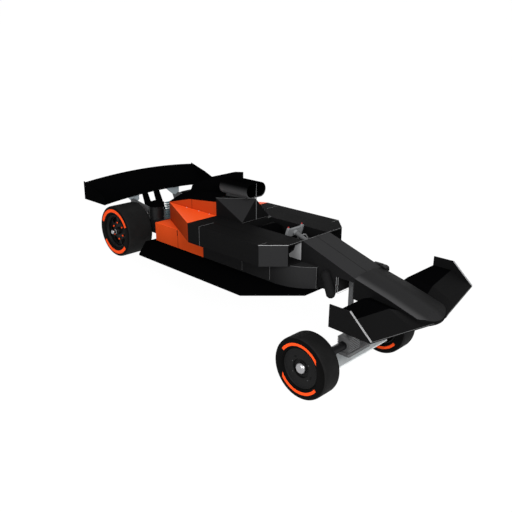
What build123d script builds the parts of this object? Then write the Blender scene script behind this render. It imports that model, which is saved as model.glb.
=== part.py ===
from build123d import *
from math import atan2, cos, degrees, radians, sin
import os

# Open-wheel single-seat racing car, full size, millimetres.
# The car is laid out in its own body frame: X forward, Y left, Z up, with the floor plate level.
# The front wheels hang lower than the rear ones, so at the end the whole car is turned nose-up
# until all four tyres stand on one level, and its box is centred over the origin.

# Running gear
WHEELBASE = 3590
FRONT_AXLE_X = 1566
FRONT_AXLE_Z = -705
REAR_AXLE_Z = 86
TYRE_RADIUS = 370
RIM_RADIUS = 240
FRONT_TYRE_WIDTH = 270
REAR_TYRE_WIDTH = 410
FRONT_WIDTH = 1804
REAR_WIDTH = 1738
SPINDLE_RADIUS = 30
RUNNING_CLEARANCE = 0.05
WHEEL_GAP = 8

REAR_AXLE_X = FRONT_AXLE_X - WHEELBASE
PITCH = degrees(atan2(REAR_AXLE_Z - FRONT_AXLE_Z, WHEELBASE))
FRONT_WHEEL_Y = (FRONT_WIDTH - FRONT_TYRE_WIDTH) / 2
REAR_WHEEL_Y = (REAR_WIDTH - REAR_TYRE_WIDTH) / 2

# Body levels and stations
FLOOR_THICKNESS = 25
FLOOR_TOP = -20
WAIST_Z = 246
DECK_Z = 505
FLOOR_HALF_WIDTH = 1006
TUB_HALF_WIDTH = 492
POD_HALF_WIDTH = 738
SPINE_HALF_WIDTH = 246
COCKPIT_WALL = 25
TUB_FRONT_X = 1263
POD_FRONT_X = 1017
POD_CORNER = 243
HOOP_X = 0
PAINT_SPLIT_X = -500
DECK_END_X = -1509
TUB_END_X = -1542
SKIN = 14

# Nose
NOSE_BREAK_X = 1788
NOSE_TIP_X = 2712
NOSE_HALF_WIDTH = 259
NOSE_BREAK_Z = 247
NOSE_TIP_Z = -30
NOTCH_START_X = 1533
NOTCH_END_X = 1771
NOTCH_TOP_Z = 197

# Wings
ENDPLATE_INNER_Y = 995
ENDPLATE_THICKNESS = 12
FLAP_Z = 143
WING_THICKNESS = 14
REAR_WING_ARCH = 58

# Front axle
POST_LENGTH_X = 48
POST_WIDTH = 50
PIN_RADIUS = 22
BLOCK_TOP_Z = -612
BLOCK_BOTTOM_Z = -820
BLOCK_LENGTH = 180
BLOCK_HALF_WIDTH = 103
FOOT_LENGTH = 220
FOOT_RIGHT_Y = -138
FOOT_LEFT_Y = 300
FOOT_HEIGHT = 40
PLATE_LENGTH = 324
PLATE_END_GAP = 25
PLATE_CORNER_RADIUS = 30
PLATE_THICKNESS = 16
TUBE_RADIUS = 52
THRUST_GAP = 0.5

# Steering wheel
WHEEL_POINT = (651, 492)
COLUMN_SLOPE = 20
SHAFT_RADIUS = 12
YOKE_WIDTH = 286
YOKE_HEIGHT = 150

pieces = {}


def plan(points, z_from, z_to):
    """A slab with the given outline in plan."""
    outline = make_face(Polyline(*[(x, y, z_from) for x, y in points], close=True))
    return extrude(outline, z_to - z_from, dir=(0, 0, 1))


def side(points, y_from, y_to):
    """A slab with the given outline in side view."""
    outline = make_face(Polyline(*[(x, y_from, z) for x, z in points], close=True))
    return extrude(outline, y_to - y_from, dir=(0, 1, 0))


def block(x_from, x_to, y_from, y_to, z_from, z_to):
    size = (x_to - x_from, y_to - y_from, z_to - z_from)
    return Pos((x_from + x_to) / 2, (y_from + y_to) / 2, (z_from + z_to) / 2) * Box(*size)


def rod_y(x, z, radius, y_from, y_to):
    """A round bar across the car."""
    return Pos(x, (y_from + y_to) / 2, z) * Rot(90, 0, 0) * Cylinder(radius, y_to - y_from)


def turned(profile):
    """A solid of revolution about the Y axis from (radius, y) corners."""
    outline = make_face(Polyline(*[(radius, y, 0) for radius, y in profile], close=True))
    return revolve(outline, axis=Axis.Y)


def solid_of(faces):
    """A closed solid from the corner points of its flat faces."""
    return Solid(Shell([Face(Wire.make_polygon(points, close=True)) for points in faces]))


def other_side(piece):
    return mirror(piece, Plane.XZ)


def pair(piece):
    return Compound(children=[piece, other_side(piece)])


# Floor plate: flat, with its four corners cut off
floor_half = [(1271, 482), (748, FLOOR_HALF_WIDTH), (-1230, FLOOR_HALF_WIDTH), (-1607, 631)]
floor_outline = floor_half + [(x, -y) for x, y in reversed(floor_half)]
pieces["floor_plate"] = plan(floor_outline, FLOOR_TOP - FLOOR_THICKNESS, FLOOR_TOP)

# Lower tub: straight flanks that round in to the nose, with the driver's well open on top
TUB_CURVE_X = 722
TUB_NOSE_HALF_WIDTH = 279
well_half = SPINE_HALF_WIDTH - COCKPIT_WALL
tub_edge = (
    Line((PAINT_SPLIT_X, -TUB_HALF_WIDTH, 0), (TUB_CURVE_X, -TUB_HALF_WIDTH, 0))
    + ThreePointArc(
        (TUB_CURVE_X, -TUB_HALF_WIDTH, 0),
        (1065, -430, 0),
        (TUB_FRONT_X, -TUB_NOSE_HALF_WIDTH, 0),
    )
    + Line((TUB_FRONT_X, -TUB_NOSE_HALF_WIDTH, 0), (TUB_FRONT_X, 0, 0))
    + Line((TUB_FRONT_X, 0, 0), (PAINT_SPLIT_X, 0, 0))
    + Line((PAINT_SPLIT_X, 0, 0), (PAINT_SPLIT_X, -TUB_HALF_WIDTH, 0))
)
tub_half = Pos(0, 0, FLOOR_TOP) * extrude(make_face(tub_edge), WAIST_Z - FLOOR_TOP, dir=(0, 0, 1))
WELL_REAR_X = 60
WELL_FRONT_X = TUB_FRONT_X - 60
WELL_FLOOR_Z = FLOOR_TOP + 30
well = block(WELL_REAR_X, WELL_FRONT_X, -well_half, well_half, WELL_FLOOR_Z, WAIST_Z)
pieces["lower_tub"] = tub_half + other_side(tub_half) - well

# Lower rear body, one box each side of the engine
ENGINE_HALF_WIDTH = 215
ENGINE_GAP = 6
lower_rear = block(
    TUB_END_X, PAINT_SPLIT_X, -TUB_HALF_WIDTH, -(ENGINE_HALF_WIDTH + ENGINE_GAP), FLOOR_TOP, WAIST_Z
)
pieces["lower_rear_right"] = lower_rear
pieces["lower_rear_left"] = other_side(lower_rear)

# Sidepods: overhang the tub, 45 degree front corner, duct open to the front
DUCT_DEPTH = 520
DUCT_WALL = 20
pod_outline = [
    (PAINT_SPLIT_X, -SPINE_HALF_WIDTH),
    (PAINT_SPLIT_X, -POD_HALF_WIDTH),
    (POD_FRONT_X - POD_CORNER, -POD_HALF_WIDTH),
    (POD_FRONT_X, -POD_HALF_WIDTH + POD_CORNER),
    (POD_FRONT_X, -SPINE_HALF_WIDTH),
]
duct = block(
    POD_FRONT_X - DUCT_DEPTH,
    POD_FRONT_X,
    -POD_HALF_WIDTH + POD_CORNER + DUCT_WALL / 2,
    -SPINE_HALF_WIDTH - DUCT_WALL,
    WAIST_Z + DUCT_WALL,
    DECK_Z - DUCT_WALL,
)
sidepod = plan(pod_outline, WAIST_Z, DECK_Z) - duct
cockpit_side = block(
    WELL_REAR_X, POD_FRONT_X, -SPINE_HALF_WIDTH, -well_half, WAIST_Z, DECK_Z
)
sidepod = sidepod + cockpit_side
pieces["sidepod_right"] = sidepod
pieces["sidepod_left"] = other_side(sidepod)

# Radiator core across the back of each duct, with upright fins
CORE_THICKNESS = 60
FIN_COUNT = 9
core_x = POD_FRONT_X - DUCT_DEPTH
duct_box = duct.bounding_box()
core = block(
    core_x, core_x + CORE_THICKNESS, duct_box.min.Y, duct_box.max.Y, duct_box.min.Z, duct_box.max.Z
)
for number in range(FIN_COUNT):
    fin_y = duct_box.min.Y + (number + 0.5) * duct_box.size.Y / FIN_COUNT
    core += block(
        core_x + CORE_THICKNESS - 1, core_x + CORE_THICKNESS + 12,
        fin_y - 4, fin_y + 4, duct_box.min.Z, duct_box.max.Z,
    )
pieces["radiator_cores"] = pair(core)

# Rear decks, triangular in plan
rear_deck = plan(
    [
        (PAINT_SPLIT_X, -SPINE_HALF_WIDTH),
        (PAINT_SPLIT_X, -POD_HALF_WIDTH),
        (DECK_END_X, -SPINE_HALF_WIDTH),
    ],
    WAIST_Z,
    DECK_Z,
)
pieces["rear_deck_right"] = rear_deck
pieces["rear_deck_left"] = other_side(rear_deck)

# Engine: one closed block between the lower rear boxes
pieces["engine_block"] = block(
    TUB_END_X, PAINT_SPLIT_X - 60, -ENGINE_HALF_WIDTH, ENGINE_HALF_WIDTH, FLOOR_TOP, DECK_Z - 20
)

# Engine cover walls: upright skins whose top edge falls to the rear
cover_rail = [(PAINT_SPLIT_X, 689), (-1058, 631), (DECK_END_X, DECK_Z + 4)]
wall_outline = [(DECK_END_X, WAIST_Z), (PAINT_SPLIT_X, WAIST_Z)] + cover_rail
cover_wall = side(wall_outline, -SPINE_HALF_WIDTH, -SPINE_HALF_WIDTH + SKIN)
pieces["engine_cover_walls"] = pair(cover_wall)

# Roll hoop fairing: a faceted pylon behind the driver
HOOP_REAR_Z = 746
HOOP_APEX_Z = 779
r0 = (PAINT_SPLIT_X, -SPINE_HALF_WIDTH, DECK_Z)
r1 = (PAINT_SPLIT_X, -SPINE_HALF_WIDTH, HOOP_REAR_Z)
l0 = (PAINT_SPLIT_X, SPINE_HALF_WIDTH, DECK_Z)
l1 = (PAINT_SPLIT_X, SPINE_HALF_WIDTH, HOOP_REAR_Z)
fr = (HOOP_X, -SPINE_HALF_WIDTH, DECK_Z)
fl = (HOOP_X, SPINE_HALF_WIDTH, DECK_Z)
apex = (HOOP_X, 0, HOOP_APEX_Z)
fairing = solid_of(
    [[r0, l0, fl, fr], [r0, fr, r1], [l0, l1, fl], [r0, r1, l1, l0], [fr, apex, r1], [fl, l1, apex],
     [r1, apex, l1], [fr, fl, apex]]
)
base = block(PAINT_SPLIT_X, WELL_REAR_X, -SPINE_HALF_WIDTH, SPINE_HALF_WIDTH, WAIST_Z, DECK_Z)
pieces["roll_hoop_fairing"] = fairing + base

# Airbox: stadium tube with an open mouth, on a neck over the fairing, and a thin upright before it
AIRBOX_HALF_WIDTH = 177
AIRBOX_BOTTOM_Z = 795
AIRBOX_TOP_Z = 986
AIRBOX_WALL = 12
AIRBOX_DEPTH = 400
box_height = AIRBOX_TOP_Z - AIRBOX_BOTTOM_Z
stadium = SlotOverall(2 * AIRBOX_HALF_WIDTH, box_height)
bore = SlotOverall(2 * (AIRBOX_HALF_WIDTH - AIRBOX_WALL), box_height - 2 * AIRBOX_WALL)
mouth_plane = Plane((HOOP_X, 0, AIRBOX_BOTTOM_Z + box_height / 2), x_dir=(0, 1, 0), z_dir=(1, 0, 0))
airbox = extrude(mouth_plane * stadium, -(HOOP_X - PAINT_SPLIT_X))
airbox -= extrude(mouth_plane * bore, -AIRBOX_DEPTH)
airbox += block(HOOP_X - AIRBOX_DEPTH, HOOP_X, -3, 3, AIRBOX_BOTTOM_Z + 2, AIRBOX_TOP_Z - 2)
airbox += block(HOOP_X, HOOP_X + 8, -4, 4, DECK_Z, AIRBOX_TOP_Z - 2)
neck = block(PAINT_SPLIT_X, HOOP_X - 120, -60, 60, HOOP_REAR_Z - 1, AIRBOX_BOTTOM_Z + 2)
pieces["airbox"] = airbox + (neck - fairing)

# Engine cover top: three ridged sections lofted to the rear, with the shark fin on top
RIDGE_HALF_WIDTH = 40
ridge_rail = [(PAINT_SPLIT_X, 794), (-1058, 722), (DECK_END_X, 590)]


def ridged_loft(inset, drop):
    """Roof-shaped solid over the engine cover walls, moved in by inset and down by drop."""
    sections = []
    for (x, wall_z), (_, ridge_z) in zip(cover_rail, ridge_rail):
        half = SPINE_HALF_WIDTH - inset
        ridge = RIDGE_HALF_WIDTH - inset / 2
        corners = [
            (-half, wall_z - drop), (-half, wall_z + 12 - drop), (-ridge, ridge_z - drop),
            (ridge, ridge_z - drop), (half, wall_z + 12 - drop), (half, wall_z - drop),
        ]
        sections.append(make_face(Polyline(*[(x, y, z) for y, z in corners], close=True)))
    return loft(sections, ruled=True)


cover_top = ridged_loft(0, 0) - ridged_loft(SKIN, SKIN)
FIN_THICKNESS = 16
FIN_FRONT_X = -238
fin_outline = [
    (FIN_FRONT_X, AIRBOX_TOP_Z), (FIN_FRONT_X, 1093), (-390, 1074), (-840, 943), (-1267, 769),
    (-1317, 673), (-1457, 605), (-1058, 715), (PAINT_SPLIT_X, 786), (PAINT_SPLIT_X, AIRBOX_TOP_Z),
]
fin = side(fin_outline, -FIN_THICKNESS / 2, FIN_THICKNESS / 2)
pieces["engine_cover_top"] = cover_top + fin

# Nose box: side outline crossed with a plan that widens to the front
nose_side = side(
    [
        (POD_FRONT_X, WAIST_Z), (POD_FRONT_X, DECK_Z - 2), (NOSE_BREAK_X, NOSE_BREAK_Z),
        (NOSE_BREAK_X, 0), (TUB_FRONT_X, 0), (TUB_FRONT_X, WAIST_Z),
    ],
    -400,
    400,
)
nose_plan = plan(
    [
        (POD_FRONT_X, -SPINE_HALF_WIDTH), (NOSE_BREAK_X, -NOSE_HALF_WIDTH),
        (NOSE_BREAK_X, NOSE_HALF_WIDTH), (POD_FRONT_X, SPINE_HALF_WIDTH),
    ],
    -100,
    600,
)
notch = block(NOTCH_START_X, NOTCH_END_X, -400, 400, -1, NOTCH_TOP_Z)
nose_box = (nose_side & nose_plan) - notch

# Nose cone: crowned sections that flatten towards a rounded tip
TIP_START_X = 2585
nose_sections = []
for x, half_width, bottom_z, edge_z, crown in (
    (NOSE_BREAK_X, NOSE_HALF_WIDTH, 0, NOSE_BREAK_Z, 34),
    (2198, 263, -27, 145, 30),
    (2640, 268, -55, 15, 16),
    (NOSE_TIP_X, 268, -60, NOSE_TIP_Z, 8),
):
    base_right, base_left = (x, -half_width, bottom_z), (x, half_width, bottom_z)
    edge_right, edge_left = (x, -half_width, edge_z), (x, half_width, edge_z)
    nose_sections.append(
        make_face(
            Line(base_right, base_left)
            + Line(base_left, edge_left)
            + ThreePointArc(edge_left, (x, 0, edge_z + crown), edge_right)
            + Line(edge_right, base_right)
        )
    )
cone_body = loft(nose_sections, ruled=True)
cone_edge = (
    Line((NOSE_BREAK_X, -NOSE_HALF_WIDTH, -200), (TIP_START_X, -NOSE_HALF_WIDTH - 6, -200))
    + ThreePointArc(
        (TIP_START_X, -NOSE_HALF_WIDTH - 6, -200), (NOSE_TIP_X, 0, -200),
        (TIP_START_X, NOSE_HALF_WIDTH + 6, -200),
    )
    + Line((TIP_START_X, NOSE_HALF_WIDTH + 6, -200), (NOSE_BREAK_X, NOSE_HALF_WIDTH, -200))
    + Line((NOSE_BREAK_X, NOSE_HALF_WIDTH, -200), (NOSE_BREAK_X, -NOSE_HALF_WIDTH, -200))
)
nose_cone = cone_body & extrude(make_face(cone_edge), 600, dir=(0, 0, 1))
pieces["nose_cone"] = nose_cone

# Lug and thin blade on the nose's left side
lug = side([(1690, 205), (1690, 264), (1812, 264), (1842, 250), (1850, 205)], NOSE_HALF_WIDTH - 12, 325)
blade = block(1668, 1780, NOSE_HALF_WIDTH - 4, 300, 270, 278)
pieces["nose_box"] = nose_box + (lug - nose_cone) + blade

# Round-ended tube leaning back on each side of the nose, behind the notch
TUBE_POD_RADIUS = 54
tube_low = Vector(1506, -312, 0)
tube_high = Vector(1405, -285, 200)
tube_length = (tube_high - tube_low).length
tube_profile = [
    (0, -TUBE_POD_RADIUS), (32, -44), (TUBE_POD_RADIUS, -14), (TUBE_POD_RADIUS, tube_length + 14),
    (32, tube_length + 44), (0, tube_length + TUBE_POD_RADIUS),
]
tube_plane = Plane(tube_low, z_dir=tube_high - tube_low)
tube_pod = tube_plane.location * Rot(90, 0, 0) * turned(tube_profile)
pieces["nose_tubes"] = pair((tube_pod - pieces["nose_box"]).solids().sort_by(SortBy.VOLUME)[-1])


# Front wing: skins lofted through sections across the car, then trimmed to the nose
def wing_skin(sections, thickness):
    """Ruled skin through (y, rear x, rear z, front x, front z) sections."""
    faces = []
    for y, rear_x, rear_z, front_x, front_z in sections:
        corners = [
            (rear_x, y, rear_z), (front_x, y, front_z),
            (front_x, y, front_z - thickness), (rear_x, y, rear_z - thickness),
        ]
        faces.append(make_face(Polyline(*corners, close=True)))
    return loft(faces, ruled=True)


flap = wing_skin(
    [
        (-ENDPLATE_INNER_Y, 2029, FLAP_Z, 2266, FLAP_Z),
        (-430, 2029, FLAP_Z, 2350, 125),
        (-200, 1990, 70, 2380, 33),
    ],
    WING_THICKNESS,
)
main_plane = wing_skin(
    [
        (-ENDPLATE_INNER_Y, 2266, FLAP_Z, 2545, 20),
        (-430, 2350, 125, 2646, -11),
        (-200, 2380, 33, 2687, -24),
        (-130, 2385, 10, 2704, -28),
        (-20, 2390, 5, 2714, -29),
    ],
    WING_THICKNESS,
)
pieces["front_wing_flaps"] = pair(flap - nose_cone)
pieces["front_wing_main"] = pair(main_plane - nose_cone)
endplate = side(
    [(2029, 256), (2281, 258), (2542, 20), (2542, 2), (2025, 8)],
    -ENDPLATE_INNER_Y - ENDPLATE_THICKNESS,
    -ENDPLATE_INNER_Y,
)
pieces["front_wing_endplates"] = pair(endplate)

# Rear wing: cambered profile swept in an arch across the car
TRAILING_EDGE = (-2516, 813)
CAMBER_POINT = (-2310, 640)
LEADING_EDGE = (-2009, 582)
arch_radius = (ENDPLATE_INNER_Y**2 + REAR_WING_ARCH**2) / (2 * REAR_WING_ARCH)
arch_centre_z = TRAILING_EDGE[1] - arch_radius
upper = ThreePointArc(
    (TRAILING_EDGE[0], 0, TRAILING_EDGE[1]), (CAMBER_POINT[0], 0, CAMBER_POINT[1]),
    (LEADING_EDGE[0], 0, LEADING_EDGE[1]),
)
lower = ThreePointArc(
    (TRAILING_EDGE[0] - 10, 0, TRAILING_EDGE[1] - 6),
    (CAMBER_POINT[0] - 12, 0, CAMBER_POINT[1] - 18),
    (LEADING_EDGE[0] + 2, 0, LEADING_EDGE[1] - 16),
)
wing_face = make_face(
    upper + Line(upper @ 1, lower @ 1) + lower + Line(lower @ 0, upper @ 0)
)
arch_angle = 9
wing_axis = Axis((0, 0, arch_centre_z), (1, 0, 0))
rear_plane = revolve(wing_face.rotate(wing_axis, -arch_angle), axis=wing_axis,
                     revolution_arc=2 * arch_angle)
rear_plane = rear_plane & block(-3000, -1500, -ENDPLATE_INNER_Y, ENDPLATE_INNER_Y, 300, 1200)
pieces["rear_wing_plane"] = rear_plane
rear_endplate = side(
    [(-2528, 770), (-2190, 676), (-2015, 610), (-2000, 505), (-2534, 505)],
    -ENDPLATE_INNER_Y - ENDPLATE_THICKNESS,
    -ENDPLATE_INNER_Y,
)
pieces["rear_wing_endplates"] = pair(rear_endplate)

# Cross member behind the body, closing its tail between the rear tyres
TYRE_CLEARANCE = 9
CYLINDER_RADIUS = 105
CYLINDER_X = -1697
CROSS_MEMBER_END_X = -1810
CROSS_MEMBER_TOP_Z = 250
rear_tyre_face = REAR_WHEEL_Y - REAR_TYRE_WIDTH / 2
CYLINDER_Y = rear_tyre_face - TYRE_CLEARANCE - CYLINDER_RADIUS
cross_member_half = CYLINDER_Y + CYLINDER_RADIUS
pieces["tail_cross_member"] = block(
    CROSS_MEMBER_END_X, TUB_END_X, -cross_member_half, cross_member_half, 60, CROSS_MEMBER_TOP_Z
)

# Gearbox casing behind the cross member, with a starter socket in its tail
GEARBOX_HALF_WIDTH = 100
GEARBOX_TOP_Z = 230
GEARBOX_END_X = -2300
SOCKET_RADIUS = 20
SOCKET_DEPTH = 60
SOCKET_Z = 95
gearbox = side(
    [
        (CROSS_MEMBER_END_X, FLOOR_TOP), (CROSS_MEMBER_END_X, GEARBOX_TOP_Z),
        (-2150, GEARBOX_TOP_Z), (GEARBOX_END_X, GEARBOX_TOP_Z - 60), (GEARBOX_END_X, 20),
        (-2200, FLOOR_TOP),
    ],
    -GEARBOX_HALF_WIDTH,
    GEARBOX_HALF_WIDTH,
)
socket = Plane((GEARBOX_END_X, 0, SOCKET_Z), z_dir=(1, 0, 0)) * Circle(SOCKET_RADIUS)
pieces["gearbox"] = gearbox - extrude(socket, SOCKET_DEPTH)

# Finned rear face of the engine, showing past the body's tail
COOLING_FINS = 7
COOLING_FIN_PITCH = 34
COOLING_FIN_THICKNESS = 12
COOLING_FIN_HALF_WIDTH = 268
first_fin_z = CROSS_MEMBER_TOP_Z + 26
last_fin_z = first_fin_z + (COOLING_FINS - 1) * COOLING_FIN_PITCH
fin_block = block(
    TUB_END_X - 20, TUB_END_X, -ENGINE_HALF_WIDTH, ENGINE_HALF_WIDTH, first_fin_z, last_fin_z
)
for number in range(COOLING_FINS):
    fin_z = first_fin_z + number * COOLING_FIN_PITCH
    fin_block += block(
        TUB_END_X - 58, TUB_END_X, -COOLING_FIN_HALF_WIDTH, COOLING_FIN_HALF_WIDTH,
        fin_z, fin_z + COOLING_FIN_THICKNESS,
    )
pieces["engine_cooling_fins"] = fin_block

# Engine cylinders standing on the cross member, each under a toothed head
HEAD_BOTTOM_Z = 437
HEAD_TOP_Z = 487
HEAD_RADIUS = 106
TOOTH_LENGTH = 10
TEETH = 16
cylinder = Pos(CYLINDER_X, -CYLINDER_Y, (CROSS_MEMBER_TOP_Z + HEAD_BOTTOM_Z) / 2) * Cylinder(
    CYLINDER_RADIUS, HEAD_BOTTOM_Z - CROSS_MEMBER_TOP_Z
)
for band_z in (CROSS_MEMBER_TOP_Z + 30, HEAD_BOTTOM_Z - 30):
    cylinder -= Pos(CYLINDER_X, -CYLINDER_Y, band_z) * (
        Cylinder(CYLINDER_RADIUS + 5, 10) - Cylinder(CYLINDER_RADIUS - 6, 10)
    )
pieces["engine_cylinders"] = pair(cylinder)
head_middle = Pos(CYLINDER_X, -CYLINDER_Y, (HEAD_BOTTOM_Z + HEAD_TOP_Z) / 2)
head = head_middle * Cylinder(HEAD_RADIUS, HEAD_TOP_Z - HEAD_BOTTOM_Z)
for place in PolarLocations(HEAD_RADIUS, TEETH):
    head += head_middle * place * Box(2 * TOOTH_LENGTH, 22, HEAD_TOP_Z - HEAD_BOTTOM_Z)
head += Pos(CYLINDER_X, -CYLINDER_Y, HEAD_TOP_Z + 12) * Cylinder(46, 24)
pieces["engine_heads"] = pair(head)

# Rear wing struts: slanted plates from the gearbox sides up to the wing
STRUT_THICKNESS = 14
strut = side(
    [(-2060, 150), (-2270, 150), (-2500, 806), (-2310, 634)],
    -GEARBOX_HALF_WIDTH - STRUT_THICKNESS,
    -GEARBOX_HALF_WIDTH,
)
strut = (strut - rear_plane).solids().sort_by(Axis.Z)[0]
pieces["rear_wing_struts"] = pair(strut)

# Rear hub carriers: plates from the axle line up to a rounded top, with an arm to the front
CARRIER_THICKNESS = 26
CARRIER_GAP = 56
CARRIER_Y = rear_tyre_face - CARRIER_GAP - CARRIER_THICKNESS
HUMP_POINT = (-2214, 410)
ARM_POINT = (-1836, 378)
axle_point = (REAR_AXLE_X, REAR_AXLE_Z)
carrier_face = make_hull(
    (Pos(*axle_point) * Circle(90)).edges() + (Pos(*HUMP_POINT) * Circle(46)).edges()
    + (Pos(*ARM_POINT) * Circle(28)).edges()
)
stand_up = Plane((0, -CARRIER_Y, 0), x_dir=(1, 0, 0), z_dir=(0, -1, 0))
carrier = extrude(stand_up * carrier_face, CARRIER_THICKNESS)
pieces["rear_hub_carriers"] = pair(carrier)

# Fences: upright plates from the hub carriers up to the underside of the rear wing
fence = side(
    [(-2260, 400), (-2168, 400), (-2083, 470), (-2083, 700), (-2460, 850), (-2460, 470)],
    -CARRIER_Y,
    -CARRIER_Y + 8,
)
fence = (fence - rear_plane).solids().sort_by(Axis.Z)[0]
pieces["rear_fences"] = pair(fence)


# Wheels, modelled with their axis along Y and the outer face towards -Y
def make_tyre(width):
    half = width / 2
    right = [(RIM_RADIUS, -half + 24), (305, -half), (TYRE_RADIUS, -half + 34)]
    return turned(right + [(radius, -y) for radius, y in reversed(right)])


def make_rim(width, dish_y, nut, spindle_end_y):
    """Barrel, dished disc round the nut's (radius, y) corners, and a hub bored for the spindle."""
    half = width / 2
    barrel_inner = RIM_RADIUS - 12
    rim = turned(
        nut
        + [
            (112, dish_y + 8), (112, dish_y - 10), (barrel_inner, dish_y - 25),
            (barrel_inner, -half + 24), (RIM_RADIUS, -half + 24), (RIM_RADIUS, half - 24),
            (barrel_inner, half - 24), (barrel_inner, dish_y + 24), (70, dish_y + 30),
            (70, half - 40), (0, half - 40),
        ]
    )
    bore_end = spindle_end_y - 2
    bore = rod_y(0, 0, SPINDLE_RADIUS + RUNNING_CLEARANCE, bore_end, half)
    return rim - bore


def wheel_set(name, centre, width, dish_y, nut, spindle_end_y):
    tyre = Pos(*centre) * make_tyre(width)
    rim = Pos(*centre) * make_rim(width, dish_y, nut, spindle_end_y)
    pieces[f"tyre_{name}_right"] = tyre
    pieces[f"tyre_{name}_left"] = other_side(tyre)
    pieces[f"rim_{name}_right"] = rim
    pieces[f"rim_{name}_left"] = other_side(rim)


FRONT_DISH_Y = -FRONT_TYRE_WIDTH / 2 + 50
REAR_DISH_Y = -REAR_TYRE_WIDTH / 2 + 150
front_centre = (FRONT_AXLE_X, -FRONT_WHEEL_Y, FRONT_AXLE_Z)
rear_centre = (REAR_AXLE_X, -REAR_WHEEL_Y, REAR_AXLE_Z)
REAR_NUT_Y = -REAR_TYRE_WIDTH / 2 - 43
front_nut = [
    (0, FRONT_DISH_Y - 50), (52, FRONT_DISH_Y - 44), (69, FRONT_DISH_Y - 20), (69, FRONT_DISH_Y + 8),
]
rear_nut = [
    (0, REAR_NUT_Y), (24, REAR_NUT_Y), (30, REAR_NUT_Y + 8), (30, REAR_NUT_Y + 56),
    (46, REAR_NUT_Y + 62), (62, REAR_DISH_Y + 8),
]
wheel_set("front", front_centre, FRONT_TYRE_WIDTH, FRONT_DISH_Y, front_nut, FRONT_DISH_Y - 10)
wheel_set("rear", rear_centre, REAR_TYRE_WIDTH, REAR_DISH_Y, rear_nut, REAR_DISH_Y - 10)

# Rear axle tubes run from the gearbox to the hub carriers, spindles on into the wheels
rear_hub_face = REAR_WHEEL_Y - (REAR_TYRE_WIDTH / 2 - 40) - WHEEL_GAP
rear_tube = rod_y(*axle_point, 45, -CARRIER_Y, -GEARBOX_HALF_WIDTH)
outer_tube = rod_y(*axle_point, 60, -rear_hub_face, -CARRIER_Y - CARRIER_THICKNESS)
spindle = rod_y(*axle_point, SPINDLE_RADIUS, -REAR_WHEEL_Y + REAR_DISH_Y - 10, -rear_hub_face)
pieces["rear_axle_tubes"] = pair(rear_tube)
pieces["rear_spindles"] = pair(outer_tube + spindle)

# Steering post: flat bar from the top of the nose notch, ending in a round pin
post = block(
    FRONT_AXLE_X - POST_LENGTH_X / 2, FRONT_AXLE_X + POST_LENGTH_X / 2,
    -POST_WIDTH / 2, POST_WIDTH / 2, BLOCK_TOP_Z + THRUST_GAP, NOTCH_TOP_Z,
)
pin_length = BLOCK_TOP_Z - BLOCK_BOTTOM_Z - 40
pin = Pos(FRONT_AXLE_X, 0, BLOCK_TOP_Z + THRUST_GAP - pin_length / 2) * Cylinder(
    PIN_RADIUS, pin_length
)
pieces["steering_post"] = post + pin

# Front axle block: ribbed housing on a wider foot, bored for the pin
RIB_COUNT = 7
RIB_DEPTH = 12
half_length = BLOCK_LENGTH / 2
rib_pitch = (BLOCK_TOP_Z - BLOCK_BOTTOM_Z - FOOT_HEIGHT) / RIB_COUNT
foot_plane = Plane((FRONT_AXLE_X, (FOOT_LEFT_Y + FOOT_RIGHT_Y) / 2, BLOCK_BOTTOM_Z))
foot_outline = RectangleRounded(FOOT_LENGTH, FOOT_LEFT_Y - FOOT_RIGHT_Y, 20)
axle_block = extrude(foot_plane * foot_outline, FOOT_HEIGHT)
axle_block += block(
    FRONT_AXLE_X - half_length + RIB_DEPTH, FRONT_AXLE_X + half_length - RIB_DEPTH,
    -BLOCK_HALF_WIDTH, BLOCK_HALF_WIDTH, BLOCK_BOTTOM_Z, BLOCK_TOP_Z,
)
for number in range(RIB_COUNT):
    rib_z = BLOCK_TOP_Z - number * rib_pitch
    axle_block += block(
        FRONT_AXLE_X - half_length, FRONT_AXLE_X + half_length,
        -BLOCK_HALF_WIDTH, BLOCK_HALF_WIDTH, rib_z - 0.5 * rib_pitch, rib_z,
    )
axle_block -= Pos(FRONT_AXLE_X, 0, (BLOCK_TOP_Z + BLOCK_BOTTOM_Z) / 2) * Cylinder(
    PIN_RADIUS + RUNNING_CLEARANCE, BLOCK_TOP_Z - BLOCK_BOTTOM_Z
)
pieces["front_axle_block"] = axle_block

# Plate under the block, running nearly from tyre to tyre
PLATE_HALF_WIDTH = FRONT_WHEEL_Y - FRONT_TYRE_WIDTH / 2 - PLATE_END_GAP
plate_plane = Plane((FRONT_AXLE_X, 0, BLOCK_BOTTOM_Z - PLATE_THICKNESS))
pieces["front_axle_plate"] = extrude(
    plate_plane * RectangleRounded(PLATE_LENGTH, 2 * PLATE_HALF_WIDTH, PLATE_CORNER_RADIUS),
    PLATE_THICKNESS,
)

# Front axle tubes and spindles
front_hub_face = FRONT_WHEEL_Y - (FRONT_TYRE_WIDTH / 2 - 40) - WHEEL_GAP
front_tube = rod_y(
    FRONT_AXLE_X, FRONT_AXLE_Z, TUBE_RADIUS, -front_hub_face, -BLOCK_HALF_WIDTH
)
front_spindle = rod_y(
    FRONT_AXLE_X, FRONT_AXLE_Z, SPINDLE_RADIUS,
    -FRONT_WHEEL_Y + FRONT_DISH_Y - 10, -front_hub_face,
)
pieces["front_axle_tubes"] = pair(front_tube + front_spindle)

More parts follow.
